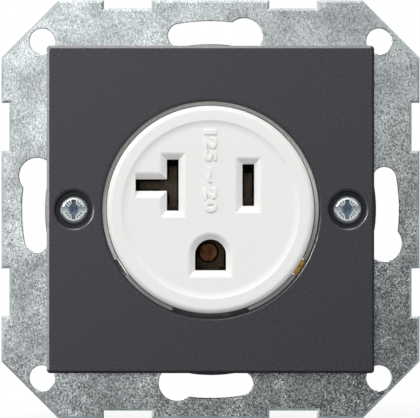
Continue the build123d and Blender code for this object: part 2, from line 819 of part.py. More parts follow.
# Strap rivets: one flush behind the frame, one through the terminal's ear
with BuildPart() as strap_rivets:
    with BuildSketch(section_plane(0, x=frame_rivet_x, z=frame_rivet_z)):
        with BuildLine():
            Polyline(
                (0, flush_gap),
                (frame_rivet_head_r - 2 * flush_gap, flush_gap),
                (frame_rivet_r, frame_rivet_head_r - frame_rivet_r - flush_gap),
                (frame_rivet_r, frame_sheet + strap_sheet),
                (frame_rivet_head_r, frame_sheet + strap_sheet),
                (frame_rivet_head_r, frame_sheet + strap_sheet + frame_rivet_head_height),
                (0, frame_sheet + strap_sheet + frame_rivet_head_height),
                close=True,
            )
        make_face()
    revolve(axis=Axis((frame_rivet_x, 0, frame_rivet_z), socket_axis.direction))
    with BuildSketch(ear_axis_plane):
        with BuildLine():
            Polyline(
                (terminal_inner_r - strap_sheet - rivet_head_height, 0),
                (terminal_inner_r - strap_sheet - rivet_head_height, rivet_head_r),
                (terminal_inner_r - strap_sheet, rivet_head_r),
                (terminal_inner_r - strap_sheet, rivet_r),
                (terminal_outer_r - (rivet_head_r - rivet_r - flush_gap), rivet_r),
                (terminal_outer_r - flush_gap, rivet_head_r - 2 * flush_gap),
                (terminal_outer_r - flush_gap, 0),
                close=True,
            )
        make_face()
    revolve(axis=Axis(ear_axis_plane.origin, ear_axis_plane.x_dir))
save(strap_rivets, "strap_rivets")


def make_terminal_screw(terminal, name):
    """A binding-head screw on the terminal's axis, its slot at the outer end."""
    head_inner_r = terminal_outer_r + slip_gap
    head_outer_r = head_inner_r + terminal_head_height
    with BuildPart() as screw:
        with BuildSketch(terminal) as half:
            with BuildLine():
                Polyline(
                    (screw_tip_r, 0),
                    (screw_tip_r, terminal_screw_r),
                    (head_inner_r, terminal_screw_r),
                    (head_inner_r, terminal_head_r),
                    (head_outer_r, terminal_head_r),
                    (head_outer_r, 0),
                    close=True,
                )
            make_face()
            head_corner = half.vertices().group_by(Axis.X)[-1].sort_by(Axis.Y)[-1]
            fillet(head_corner, terminal_head_round)
        revolve(axis=Axis(terminal.origin, terminal.x_dir))
        cut_drive(across(terminal, head_outer_r), terminal_head_r)
    save(screw, name)


def make_clamp(terminal, name):
    """The plate that the screw draws outwards to grip the wires on the terminal plate."""
    with BuildPart() as clamp:
        with BuildSketch(across(terminal, clamp_inner_r)):
            RectangleRounded(2 * terminal_half_width, 2 * clamp_half_height, clamp_corner)
            Circle(terminal_screw_r + fit_gap, mode=Mode.SUBTRACT)
        extrude(amount=clamp_thickness)
    save(clamp, name)


for terminal_name, terminal in terminals.items():
    make_terminal_screw(terminal, f"{terminal_name}_terminal_screw")
    make_clamp(terminal, f"{terminal_name}_clamp")
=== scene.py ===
import json
import math

import bmesh
import bpy
from mathutils import Matrix, Vector


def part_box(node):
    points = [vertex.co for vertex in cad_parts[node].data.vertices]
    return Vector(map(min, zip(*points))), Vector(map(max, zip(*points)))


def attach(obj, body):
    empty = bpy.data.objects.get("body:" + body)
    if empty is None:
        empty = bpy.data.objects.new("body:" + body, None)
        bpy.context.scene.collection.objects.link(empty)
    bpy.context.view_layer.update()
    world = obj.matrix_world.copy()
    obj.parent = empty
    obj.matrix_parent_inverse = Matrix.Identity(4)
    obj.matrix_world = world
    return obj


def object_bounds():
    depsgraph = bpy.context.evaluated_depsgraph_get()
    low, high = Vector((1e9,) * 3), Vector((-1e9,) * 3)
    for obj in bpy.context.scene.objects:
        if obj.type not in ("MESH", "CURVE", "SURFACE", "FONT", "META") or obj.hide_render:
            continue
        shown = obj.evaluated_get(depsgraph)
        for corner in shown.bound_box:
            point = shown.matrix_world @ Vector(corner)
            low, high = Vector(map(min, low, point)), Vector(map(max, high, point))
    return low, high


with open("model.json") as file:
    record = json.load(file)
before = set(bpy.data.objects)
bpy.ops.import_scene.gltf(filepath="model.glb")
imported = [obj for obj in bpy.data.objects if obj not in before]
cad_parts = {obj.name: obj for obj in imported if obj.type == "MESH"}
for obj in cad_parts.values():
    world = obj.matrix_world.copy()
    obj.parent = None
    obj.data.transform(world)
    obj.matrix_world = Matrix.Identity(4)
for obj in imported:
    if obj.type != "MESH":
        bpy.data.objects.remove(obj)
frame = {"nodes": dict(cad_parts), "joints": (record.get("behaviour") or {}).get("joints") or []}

bl_info = {
    "name": "Wall Socket Insert Looks",
    "version": (1, 0, 0),
    "blender": (4, 5, 0),
    "location": "View3D > Sidebar > Wall Socket",
    "description": "Finishes, raised marks, screw threads and a studio for a flush wall socket insert",
    "category": "Object",
}

MM = 0.001
CAD_LOW, CAD_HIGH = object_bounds()
TERMINALS = ("line", "neutral", "earth")
WHITE = (1, 1, 1, 1)
QUARTER_TURN = math.pi / 2

# Multiplied with a place, this leaves its depth out.
FRONT_PLANE = Vector((1, 0, 1))

# Most values of a noise texture are in this range.
NOISE_RANGE = {"From Min": 0.3, "From Max": 0.7}

# In degrees: three ticks between each two wings of a screw's cross.
TICK_ANGLES = [corner + lean for corner in (45, 135, 225, 315) for lean in (-17, 0, 17)]

# In degrees from the right, as the camera sees them.
RIM_ANGLES = {"top": 95, "corner": 135, "left": 175}


def linear(hex_colour):
    """Turn an sRGB hex colour into linear red, green and blue."""
    channels = [int(hex_colour[i : i + 2], 16) / 255 for i in (1, 3, 5)]
    return [c / 12.92 if c <= 0.04045 else ((c + 0.055) / 1.055) ** 2.4 for c in channels]


def colour_property(name, description, hex_colour):
    return bpy.props.FloatVectorProperty(
        name=name,
        description=description,
        subtype="COLOR",
        size=3,
        min=0,
        max=1,
        default=linear(hex_colour),
    )


def length_property(name, description, millimetres):
    return bpy.props.FloatProperty(
        name=name,
        description=description,
        subtype="DISTANCE",
        unit="LENGTH",
        precision=5,
        default=millimetres * MM,
    )


def place_property(name, description, metres):
    return bpy.props.FloatVectorProperty(
        name=name, description=description, unit="LENGTH", size=3, default=metres
    )


def number_property(name, description, value, unit="NONE"):
    return bpy.props.FloatProperty(name=name, description=description, unit=unit, default=value)


class SocketColours(bpy.types.PropertyGroup):
    """Colours of the socket's finishes."""

    zinc_light: colour_property("Zinc, light", "Light grains of the frame's zinc plating", "#EEF5F6")
    zinc_dark: colour_property("Zinc, dark", "Dark grains of the frame's zinc plating", "#A9AFB0")
    cover: colour_property("Cover", "Anthracite plastic of the centre cover", "#323138")
    # Painted shade: dark colour laid in the bores round the cover's screws.
    bore_painted_shade: colour_property("Screw bores", "Plastic in the bores round the cover's screws", "#121214")
    face: colour_property("Face", "White plastic of the socket face", "#EEEEEC")
    collar: colour_property("Collar", "White plastic of the ring round the face", "#EEEDEA")
    housing: colour_property("Housing", "Dark thermoset of the rear housing", "#292624")
    screw_light: colour_property("Blue zinc, light", "Bright flats of the plated screws", "#F4F6F6")
    screw_dark: colour_property("Blue zinc, dark", "Cloudy patches of the plated screws", "#D3DADD")
    # Painted shade: slate blue laid in the screws' recesses.
    screw_recess_shade: colour_property("Blue zinc, recess", "Thin plating in the screws' recesses", "#6E8292")
    brass_light: colour_property("Brass, bright", "Bright rolled brass", "#FFDA80")
    brass_dark: colour_property("Brass, dull", "Brass dulled by air", "#D2A24A")
    # Painted shade: both contact colours are darkened to stand for the shade deep in the slots.
    contact_bright_painted_shade: colour_property("Contact brass, bright", "Bright streaks of the contacts", "#6C6054")
    contact_dull_painted_shade: colour_property("Contact brass, dull", "Oxide on the contacts' brass", "#584D42")
    # Painted shade: both earth contact colours are darkened to stand for the shade deep in the earth
    # opening.
    bronze_bright_painted_shade: colour_property("Bronze, bright", "Bright streaks of the earth contact", "#53473A")
    bronze_dull_painted_shade: colour_property("Bronze, dull", "Oxide on the earth contact", "#41372D")
    copper_light: colour_property("Copper, bright", "Bright copper of the rivets", "#D59A78")
    copper_dark: colour_property("Copper, dull", "Copper dulled by air", "#A4694A")
    nickel_light: colour_property("Nickel, bright", "Nickel plating of the neutral screw", "#DAD6CE")
    nickel_dark: colour_property("Nickel, dull", "Dull patches of the nickel plating", "#A39D93")
    green_light: colour_property("Green, bright", "Green dyed plating of the earth screw", "#3E8A54")
    green_dark: colour_property("Green, dull", "Dull patches of the green plating", "#1F5632")
    clamp_light: colour_property("Clamp steel, bright", "Plated clamp plates", "#C6C4BB")
    clamp_dark: colour_property("Clamp steel, dull", "Dull patches of the clamp plates", "#85837B")


class SocketMarks(bpy.types.PropertyGroup):
    """The face's raised numerals, the terminal screws' threads and the cover screws' ticks."""

    numerals: bpy.props.StringProperty(
        name="Numerals",
        description="Plain raised numerals that read down the face",
        default="125 ~ 20",
    )
    numeral_size: length_property("Size", "Type size of the numerals", 2.6)
    numeral_weight: length_property("Weight", "How much the strokes are thickened on each side", 0.15)
    numeral_top: length_property("Top", "Height of the numerals' first edge above the centre", 13.4)
    numeral_length: length_property("Length", "How far the numerals reach down the face", 13.9)
    numeral_proud: length_property("Proud", "How far the numerals stand out", 0.2)
    numeral_sink: length_property("Sink", "How far the numerals reach into the face", 0.1)
    numeral_round: length_property("Rounding", "Rounding of the numerals' edges", 0.1)
    recess_depth: length_property("Recess", "Depth of the face's recess behind its rim", 0.28)
    thread_pitch: length_property("Pitch", "Pitch of the terminal screws' threads", 0.8)
    thread_height: length_property("Thread height", "Height of the thread over the shank", 0.2)
    shank_r: length_property("Shank radius", "Radius of the terminal screws' shanks", 1.75)
    tick_inner: length_property("Tick start", "Where the cover screws' ticks start, from the axis", 1.1)
    tick_outer: length_property("Tick end", "Where the cover screws' ticks end, from the axis", 1.65)
    tick_width: length_property("Tick width", "Width of the cover screws' ticks", 0.18)
    tick_proud: length_property("Tick height", "Height of the cover screws' ticks", 0.02)


class SocketStage(bpy.types.PropertyGroup):
    """Camera, lights and the colours of the floor and the cards."""

    view_distance: length_property("Camera distance", "Camera to the frame's front", 793)
    view_width: length_property("View width", "Width seen at the frame's front", 71.3)
    view_shift: length_property("Camera offset", "Camera left of and above the object's middle", 0.085)
    sensor: number_property("Sensor", "Camera sensor width in millimetres", 36)
    key_power: number_property("Key light", "Power of the soft box above", 11.7, "POWER")
    rim_power: number_property("Rim lights", "Power of each lamp at the cover's edges", 6, "POWER")
    catch_power: number_property("Catch light", "Power of the lamp the cover's edges mirror", 20, "POWER")
    side_power: number_property("Side light", "Power of the soft box at the left", 3.3, "POWER")
    fill_power: number_property("Fill light", "Power of the soft box at the right", 1.5, "POWER")
    back_power: number_property("Back light", "Power of the soft box behind", 8, "POWER")
    ambient: number_property("Ambient", "Strength of the even light from all round", 0.47)
    floor: colour_property("Floor", "Pale studio floor", "#F2F2F0")
    card_light: colour_property("Card, light", "Light side of the card that the metal mirrors", "#FFFFFF")
    card_dark: colour_property("Card, dark", "Dark side of the card that the metal mirrors", "#0A0A0A")
    far_light: colour_property("Card, far light", "Light side of the card further out", "#BCBCBC")
    far_dark: colour_property("Card, far dark", "Dark side of the card further out", "#8E9294")


def add_node(tree, kind, inputs=None, **settings):
    """Add a node with its settings; an input given a socket is linked, and any other value is set."""
    node = tree.nodes.new(kind)
    for setting, value in settings.items():
        setattr(node, setting, value)
    for name, value in (inputs or {}).items():
        if isinstance(value, bpy.types.NodeSocket):
            tree.links.new(value, node.inputs[name])
        else:
            node.inputs[name].default_value = value
    return node


def find_node(tree, kind):
    return next(node for node in tree.nodes if node.bl_idname == kind)


def opaque(colour):
    return (*colour, 1.0)


def start_material(name):
    """An empty node material, with the Object coordinates that its patterns read."""
    material = bpy.data.materials.new(name)
    material.use_nodes = True
    tree = material.node_tree
    tree.nodes.clear()
    coordinates = add_node(tree, "ShaderNodeTexCoord").outputs["Object"]
    return material, tree, coordinates


def end_material(tree, shader):
    add_node(tree, "ShaderNodeOutputMaterial", {"Surface": shader.outputs[0]})


def lay_colour(tree, share, colour):
    """Lay a second colour over a finished material's own, as far as share goes from 0 to 1."""
    base = find_node(tree, "ShaderNodeBsdfPrincipled").inputs["Base Color"]
    own_colour = base.links[0].from_socket
    mixed = add_node(
        tree, "ShaderNodeMix", {0: share, 6: own_colour, 7: opaque(colour)}, data_type="RGBA"
    )
    tree.links.new(mixed.outputs[2], base)


def grained_metal(name, light, dark, grain, roughness, relief, stretch=(1, 1, 1), metallic=1.0):
    """Metal whose grain changes its colour, roughness and relief together; grain and relief are lengths."""
    material, tree, coordinates = start_material(name)
    stretched = add_node(tree, "ShaderNodeMapping", {"Vector": coordinates, "Scale": stretch})
    noise = add_node(
        tree,
        "ShaderNodeTexNoise",
        {"Vector": stretched.outputs[0], "Scale": 1 / grain, "Detail": 4, "Roughness": 0.6},
    ).outputs[0]
    share = add_node(tree, "ShaderNodeMapRange", {"Value": noise, **NOISE_RANGE}).outputs[0]
    colour = add_node(
        tree,
        "ShaderNodeMix",
        {0: share, 6: opaque(dark), 7: opaque(light)},
        data_type="RGBA",
    ).outputs[2]
    rough_light, rough_dark = roughness
    rough = add_node(
        tree,
        "ShaderNodeMapRange",
        {"Value": noise, **NOISE_RANGE, "To Min": rough_dark, "To Max": rough_light},
    ).outputs[0]
    bump = add_node(tree, "ShaderNodeBump", {"Height": noise, "Distance": relief, "Strength": 1.0})
    shader = add_node(
        tree,
        "ShaderNodeBsdfPrincipled",
        {"Base Color": colour, "Metallic": metallic, "Roughness": rough, "Normal": bump.outputs[0]},
    )
    end_material(tree, shader)
    return material


def axis_distance(tree, coordinates, axis_x):
    """Distance from either of two axes that run from front to back, at equal places left and right."""
    one_side = add_node(tree, "ShaderNodeVectorMath", {0: coordinates}, operation="ABSOLUTE").outputs[0]
    from_axis = add_node(
        tree, "ShaderNodeVectorMath", {0: one_side, 1: Vector((axis_x, 0, 0))}, operation="SUBTRACT"
    ).outputs[0]
    flat = add_node(
        tree, "ShaderNodeVectorMath", {0: from_axis, 1: FRONT_PLANE}, operation="MULTIPLY"
    ).outputs[0]
    return add_node(tree, "ShaderNodeVectorMath", {0: flat}, operation="LENGTH").outputs["Value"]


def moulded_plastic(name, colour, ior, roughness, grain, relief, mottle):
    """Plastic with the fine texture of its mould; mottle is the share by which its shade varies."""
    rough_spread = 0.06
    material, tree, coordinates = start_material(name)
    noise = add_node(
        tree, "ShaderNodeTexNoise", {"Vector": coordinates, "Scale": 1 / grain, "Detail": 3}
    ).outputs[0]
    shade = add_node(
        tree,
        "ShaderNodeMix",
        {
            0: noise,
            6: opaque([c * (1 - mottle) for c in colour]),
            7: opaque([min(c * (1 + mottle), 1) for c in colour]),
        },
        data_type="RGBA",
    ).outputs[2]
    rough = add_node(
        tree,
        "ShaderNodeMapRange",
        {"Value": noise, "To Min": roughness - rough_spread, "To Max": roughness + rough_spread},
    ).outputs[0]
    bump = add_node(tree, "ShaderNodeBump", {"Height": noise, "Distance": relief, "Strength": 1.0})
    shader = add_node(
        tree,
        "ShaderNodeBsdfPrincipled",
        {"Base Color": shade, "IOR": ior, "Roughness": rough, "Normal": bump.outputs[0]},
    )
    end_material(tree, shader)
    return material


def zinc_plated_sheet(colours):
    """Zinc on rolled sheet steel: silvery crystals that each mirror their own way, with rolling marks."""
    mark_width = 0.17 * MM
    mark_length = 0.9 * MM
    cloud = 7 * MM
    tone_range = {"From Min": 0.7, "From Max": 1.3}
    rough_dark = 0.24
    rough_light = 0.15
    crystal = 0.2 * MM
    crystal_tilt = 0.066
    wave = 2.5 * MM
    wave_tilt = 0.042
    mean_colour = Vector((0.5, 0.5, 0.5))
    material, tree, coordinates = start_material("Zinc plated rolled steel")
    mark_size = (mark_width, mark_width, mark_length)
    scaled = add_node(
        tree, "ShaderNodeMapping", {"Vector": coordinates, "Scale": [1 / s for s in mark_size]}
    ).outputs[0]
    marks = add_node(tree, "ShaderNodeTexNoise", {"Vector": scaled, "Scale": 1.0, "Detail": 2}).outputs[0]
    clouds = add_node(
        tree, "ShaderNodeTexNoise", {"Vector": coordinates, "Scale": 1 / cloud, "Detail": 4}
    ).outputs[0]
    total = add_node(tree, "ShaderNodeMath", {0: clouds, 1: marks}, operation="ADD").outputs[0]
    tone = add_node(tree, "ShaderNodeMapRange", {"Value": total, **tone_range}).outputs[0]
    colour = add_node(
        tree,
        "ShaderNodeMix",
        {0: tone, 6: opaque(colours.zinc_dark), 7: opaque(colours.zinc_light)},
        data_type="RGBA",
    ).outputs[2]
    rough = add_node(
        tree, "ShaderNodeMapRange", {"Value": tone, "To Min": rough_dark, "To Max": rough_light}
    ).outputs[0]
    crystals = add_node(
        tree, "ShaderNodeTexVoronoi", {"Vector": coordinates, "Scale": 1 / crystal}
    ).outputs["Color"]
    waves = add_node(
        tree, "ShaderNodeTexNoise", {"Vector": coordinates, "Scale": 1 / wave, "Detail": 2}
    ).outputs["Color"]
    normal = add_node(tree, "ShaderNodeNewGeometry").outputs["Normal"]
    for pattern, tilt in ((crystals, crystal_tilt), (waves, wave_tilt)):
        either_way = add_node(
            tree, "ShaderNodeVectorMath", {0: pattern, 1: mean_colour}, operation="SUBTRACT"
        ).outputs[0]
        normal = add_node(
            tree,
            "ShaderNodeVectorMath",
            {0: either_way, 1: Vector((tilt, tilt, tilt)), 2: normal},
            operation="MULTIPLY_ADD",
        ).outputs[0]
    normal = add_node(tree, "ShaderNodeVectorMath", {0: normal}, operation="NORMALIZE").outputs[0]
    shader = add_node(
        tree,
        "ShaderNodeBsdfPrincipled",
        {"Base Color": colour, "Metallic": 1.0, "Roughness": rough, "Normal": normal},
    )
    end_material(tree, shader)
    return material


def anthracite_abs(colours):
    """ABS from a finely eroded mould: nearly black and grainy, with soft edges and painted shade in its
    bores.
    """
    edge_r = 0.3 * MM
    bore_gap = 0.68 * MM
    blend_share = 0.97
    material = moulded_plastic(
        "Anthracite ABS, fine eroded",
        colours.cover,
        ior=1.53,
        roughness=0.28,
        grain=0.3 * MM,
        relief=0.002 * MM,
        mottle=0.85,
    )
    tree = material.node_tree
    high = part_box("cover_screws")[1]
    bore_r = high.z + bore_gap
    coordinates = find_node(tree, "ShaderNodeTexCoord").outputs["Object"]
    radius = axis_distance(tree, coordinates, high.x - high.z)
    # Painted shade: the colour goes darker in the bores round the cover's screws.
    inside = add_node(
        tree,
        "ShaderNodeMapRange",
        {"Value": radius, "From Min": bore_r, "From Max": blend_share * bore_r},
    ).outputs[0]
    lay_colour(tree, inside, colours.bore_painted_shade)
    bump = find_node(tree, "ShaderNodeBump")
    soft_edge = add_node(tree, "ShaderNodeBevel", {"Radius": edge_r}, samples=8).outputs[0]
    tree.links.new(soft_edge, bump.inputs["Normal"])
    return material


def white_polycarbonate(colours):
    """Polycarbonate: a clean, even white with a soft satin gloss."""
    return moulded_plastic(
        "White polycarbonate, satin",
        colours.face,
        ior=1.58,
        roughness=0.62,
        grain=0.8 * MM,
        relief=0.001 * MM,
        mottle=0.01,
    )


def collar_polycarbonate(colours):
    """The base's own white, a touch warmer than the face and a little glossier."""
    return moulded_plastic(
        "White polycarbonate, collar",
        colours.collar,
        ior=1.58,
        roughness=0.5,
        grain=0.8 * MM,
        relief=0.001 * MM,
        mottle=0.015,
    )


def dark_thermoset(colours):
    """Filled thermoset: near black, with a half gloss and small paler flecks."""
    return moulded_plastic(
        "Dark thermoset, moulded",
        colours.housing,
        ior=1.6,
        roughness=0.45,
        grain=0.3 * MM,
        relief=0.003 * MM,
        mottle=0.25,
    )


def blue_zinc(colours):
    """Blue passivated zinc on turned steel: bright and cool, with the milky film of the passivation."""
    return grained_metal(
        "Blue passivated zinc",
        colours.screw_light,
        colours.screw_dark,
        grain=0.8 * MM,
        roughness=(0.3, 0.42),
        relief=0.002 * MM,
        metallic=0.45,
    )


def blue_zinc_painted_recess_shade(colours, recess_r, recess_depth):
    """The same plating on the cover's screws: milky white flats, with painted shade in slate blue in the
    recesses.
    """
    flat_metallic = 0.25
    material = blue_zinc(colours)
    material.name = "Blue passivated zinc, painted recess shade"
    tree = material.node_tree
    low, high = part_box("cover_screws")
    edge_start = 1.05 * recess_r
    edge_end = 0.9 * recess_r
    depth_start = low.y + 0.3 * recess_depth
    depth_end = low.y + 0.95 * recess_depth
    coordinates = find_node(tree, "ShaderNodeTexCoord").outputs["Object"]
    radius = axis_distance(tree, coordinates, high.x - high.z)
    # Painted shade: slate blue laid in the cross recess and further down its wings.
    inside = add_node(
        tree, "ShaderNodeMapRange", {"Value": radius, "From Min": edge_start, "From Max": edge_end}
    ).outputs[0]
    depth = add_node(tree, "ShaderNodeSeparateXYZ", {0: coordinates}).outputs["Y"]
    deep = add_node(
        tree, "ShaderNodeMapRange", {"Value": depth, "From Min": depth_start, "From Max": depth_end}
    ).outputs[0]
    share = add_node(tree, "ShaderNodeMath", {0: inside, 1: deep}, operation="MAXIMUM").outputs[0]
    lay_colour(tree, share, colours.screw_recess_shade)
    find_node(tree, "ShaderNodeBsdfPrincipled").inputs["Metallic"].default_value = flat_metallic
    return material


def punched_zinc_painted_shade(colours):
    """Painted shade for the punched ticks of a screw head: dark slate, with little gloss."""
    light_share = 0.45
    dark_share = 0.15
    return grained_metal(
        "Punched blue zinc, painted shade",
        [light_share * c for c in colours.screw_recess_shade],
        [dark_share * c for c in colours.screw_recess_shade],
        grain=0.4 * MM,
        roughness=(0.4, 0.5),
        relief=0.002 * MM,
    )


def contact_brass(colours):
    """Rolled spring brass, darkened with painted shade for its place deep in the slots, with streaks along
    the strip's rolling direction.
    """
    return grained_metal(
        "Rolled brass darkened by painted shade",
        colours.contact_bright_painted_shade,
        colours.contact_dull_painted_shade,
        grain=0.5 * MM,
        roughness=(0.2, 0.28),
        relief=0.001 * MM,
        stretch=(1, 0.15, 1),
    )


def earth_bronze(colours):
    """Rolled spring bronze with painted shade, darker than the brass contacts, with the same streaks."""
    return grained_metal(
        "Rolled bronze darkened by painted shade",
        colours.bronze_bright_painted_shade,
        colours.bronze_dull_painted_shade,
        grain=0.5 * MM,
        roughness=(0.2, 0.28),
        relief=0.001 * MM,
        stretch=(1, 0.15, 1),
    )


def strap_brass(colours):
    """Clean rolled brass: warm yellow, with streaks from side to side."""
    return grained_metal(
        "Rolled brass strip",
        colours.brass_light,
        colours.brass_dark,
        grain=0.6 * MM,
        roughness=(0.12, 0.22),
        relief=0.001 * MM,
        stretch=(0.15, 1, 1),
    )


def turned_brass(colours):
    """Turned brass: the same metal as the strip, a little duller and without rolling lines."""
    return grained_metal(
        "Turned brass",
        colours.brass_light,
        colours.brass_dark,
        grain=0.9 * MM,
        roughness=(0.2, 0.32),
        relief=0.002 * MM,
    )


def headed_copper(colours):
    """Copper pressed into a rivet head: reddish brown with a soft gloss."""
    return grained_metal(
        "Headed copper",
        colours.copper_light,
        colours.copper_dark,
        grain=0.8 * MM,
        roughness=(0.3, 0.45),
        relief=0.003 * MM,
    )


def nickel_plating(colours):
    """Nickel over turned steel: a warm, even silver."""
    return grained_metal(
        "Nickel plated steel",
        colours.nickel_light,
        colours.nickel_dark,
        grain=0.9 * MM,
        roughness=(0.18, 0.3),
        relief=0.002 * MM,
    )


def green_plating(colours):
    """Dyed zinc on turned steel: the green of an earth screw, with a metallic gloss."""
    return grained_metal(
        "Green dyed zinc",
        colours.green_light,
        colours.green_dark,
        grain=0.8 * MM,
        roughness=(0.28, 0.42),
        relief=0.003 * MM,
    )


def clamp_steel(colours):
    """Blanked and plated steel plate: grey, with a dull cloudy gloss."""
    return grained_metal(
        "Plated clamp steel",
        colours.clamp_light,
        colours.clamp_dark,
        grain=0.5 * MM,
        roughness=(0.32, 0.48),
        relief=0.004 * MM,
    )


def dress(material, *nodes):
    """Give CAD nodes a finish in place of the one that they were packed with."""
    for node in nodes:
        mesh = frame["nodes"][node].data
        mesh.materials.clear()
        mesh.materials.append(material)


def mesh_from(shape, name):
    """A mesh made from a finished shape, which is then freed."""
    mesh = bpy.data.meshes.new(name)
    shape.to_mesh(mesh)
    shape.free()
    return mesh


def new_piece(name, mesh, material, body):
    """Place a finished mesh in the scene as a piece that rides on a body."""
    mesh.materials.clear()
    mesh.materials.append(material)
    piece = bpy.data.objects.new(name, mesh)
    bpy.context.scene.collection.objects.link(piece)
    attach(piece, body)
    return piece


class SOCKET_OT_support_frame(bpy.types.Operator):
    """Finish the steel support frame"""

    bl_idname = "socket.support_frame"
    bl_label = "Support Frame"

    def execute(self, context):
        dress(zinc_plated_sheet(context.scene.socket_colours), "support_frame")
        return {"FINISHED"}


class SOCKET_OT_cover(bpy.types.Operator):
    """Finish the square centre cover"""

    bl_idname = "socket.cover"
    bl_label = "Centre Cover"

    def execute(self, context):
        dress(anthracite_abs(context.scene.socket_colours), "cover_plate")
        return {"FINISHED"}


class SOCKET_OT_screws(bpy.types.Operator):
    """Finish the cover's screws and the housing's screws"""

    bl_idname = "socket.screws"
    bl_label = "Cover and Housing Screws"

    recess_r: length_property("Recess radius", "Radius of the cover screws' cross recess", 1.0)
    recess_depth: length_property("Recess depth", "Depth of the cross recess's wings", 1.0)

    def execute(self, context):
        colours = context.scene.socket_colours
        dress(blue_zinc_painted_recess_shade(colours, self.recess_r, self.recess_depth), "cover_screws")
        dress(blue_zinc(colours), "housing_screws")
        return {"FINISHED"}


class SOCKET_OT_screw_ticks(bpy.types.Operator):
    """Mark the cover screws' heads with the ticks between the wings of the cross"""

    bl_idname = "socket.screw_ticks"
    bl_label = "Screw Head Ticks"

    def execute(self, context):
        marks = context.scene.socket_marks
        low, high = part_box("cover_screws")
        head_x = high.x - high.z
        length = marks.tick_outer - marks.tick_inner
        middle = (marks.tick_outer + marks.tick_inner) / 2
        shape = bmesh.new()
        for x in (-head_x, head_x):
            for angle in TICK_ANGLES:
                verts = bmesh.ops.create_cube(shape, size=1)["verts"]
                turn = Matrix.Rotation(math.radians(angle), 3, "Y")
                bmesh.ops.scale(shape, vec=(length, 2 * marks.tick_proud, marks.tick_width), verts=verts)
                bmesh.ops.translate(shape, vec=(middle, 0, 0), verts=verts)
                bmesh.ops.rotate(shape, matrix=turn, verts=verts)
                bmesh.ops.translate(shape, vec=(x, low.y, 0), verts=verts)
        bmesh.ops.bevel(
            shape,
            geom=shape.edges[:],
            offset=marks.tick_proud / 2,
            affect="EDGES",
            segments=2,
            profile=0.5,
            material=-1,
        )
        mesh = mesh_from(shape, "cover_screw_ticks")
        # Painted shade: the raised ticks take a dark slate colour that stands for the shade in punched
        # marks.
        material = punched_zinc_painted_shade(context.scene.socket_colours)
        new_piece("cover_screw_ticks", mesh, material, "root")
        return {"FINISHED"}


class SOCKET_OT_face(bpy.types.Operator):
    """Finish the white socket face and the collar round it"""

    bl_idname = "socket.face"
    bl_label = "Face and Collar"

    def execute(self, context):
        colours = context.scene.socket_colours
        dress(white_polycarbonate(colours), "socket_face")
        dress(collar_polycarbonate(colours), "socket_base")
        return {"FINISHED"}


class SOCKET_OT_numerals(bpy.types.Operator):
    """Raise plain numerals on the face, reading downwards"""

    bl_idname = "socket.numerals"
    bl_label = "Raised Numerals"

    def execute(self, context):
        marks = context.scene.socket_marks
        curve = bpy.data.curves.new("face_numerals", "FONT")
        curve.body = marks.numerals
        curve.size = marks.numeral_size
        curve.extrude = (marks.numeral_proud + marks.numeral_sink) / 2
        curve.bevel_depth = marks.numeral_round
        curve.bevel_resolution = 2
        curve.offset = marks.numeral_weight - marks.numeral_round
        text = bpy.data.objects.new("face_numerals_text", curve)
        context.scene.collection.objects.link(text)
        context.view_layer.update()
        mesh = bpy.data.meshes.new_from_object(text.evaluated_get(context.evaluated_depsgraph_get()))
        bpy.data.objects.remove(text)
        low = Vector([min(v.co[i] for v in mesh.vertices) for i in range(3)])
        high = Vector([max(v.co[i] for v in mesh.vertices) for i in range(3)])
        recess_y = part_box("socket_face")[0].y + marks.recess_depth
        stretch = Matrix.Diagonal((marks.numeral_length / (high.x - low.x), 1, 1, 1))
        centred = Matrix.Translation((-low.x, -(low.y + high.y) / 2, -high.z))
        reads_down = Matrix(((0, 1, 0, 0), (0, 0, -1, 0), (-1, 0, 0, 0), (0, 0, 0, 1)))
        place = Matrix.Translation((0, recess_y - marks.numeral_proud, marks.numeral_top))
        mesh.transform(place @ reads_down @ stretch @ centred)
        mesh.name = "face_numerals"
        material = frame["nodes"]["socket_face"].data.materials[0]
        new_piece("face_numerals", mesh, material, "root")
        return {"FINISHED"}


class SOCKET_OT_contacts(bpy.types.Operator):
    """Finish the contacts, the earth strap and the rivets"""

    bl_idname = "socket.contacts"
    bl_label = "Contacts, Strap and Rivets"

    def execute(self, context):
        colours = context.scene.socket_colours
        dress(contact_brass(colours), "line_contact", "neutral_contact")
        dress(earth_bronze(colours), "earth_contact")
        dress(strap_brass(colours), "earth_strap")
        dress(headed_copper(colours), "earth_rivet", "strap_rivets")
        return {"FINISHED"}


class SOCKET_OT_housing(bpy.types.Operator):
    """Finish the rear housing"""

    bl_idname = "socket.housing"
    bl_label = "Rear Housing"

    def execute(self, context):
        dress(dark_thermoset(context.scene.socket_colours), "rear_housing")
        return {"FINISHED"}


class SOCKET_OT_terminals(bpy.types.Operator):
    """Finish the terminal screws and their clamp plates"""

    bl_idname = "socket.terminals"
    bl_label = "Screw Terminals"

    def execute(self, context):
        colours = context.scene.socket_colours
        dress(turned_brass(colours), "line_terminal_screw")
        dress(nickel_plating(colours), "neutral_terminal_screw")
        dress(green_plating(colours), "earth_terminal_screw")
        dress(clamp_steel(colours), *[f"{name}_clamp" for name in TERMINALS])
        return {"FINISHED"}


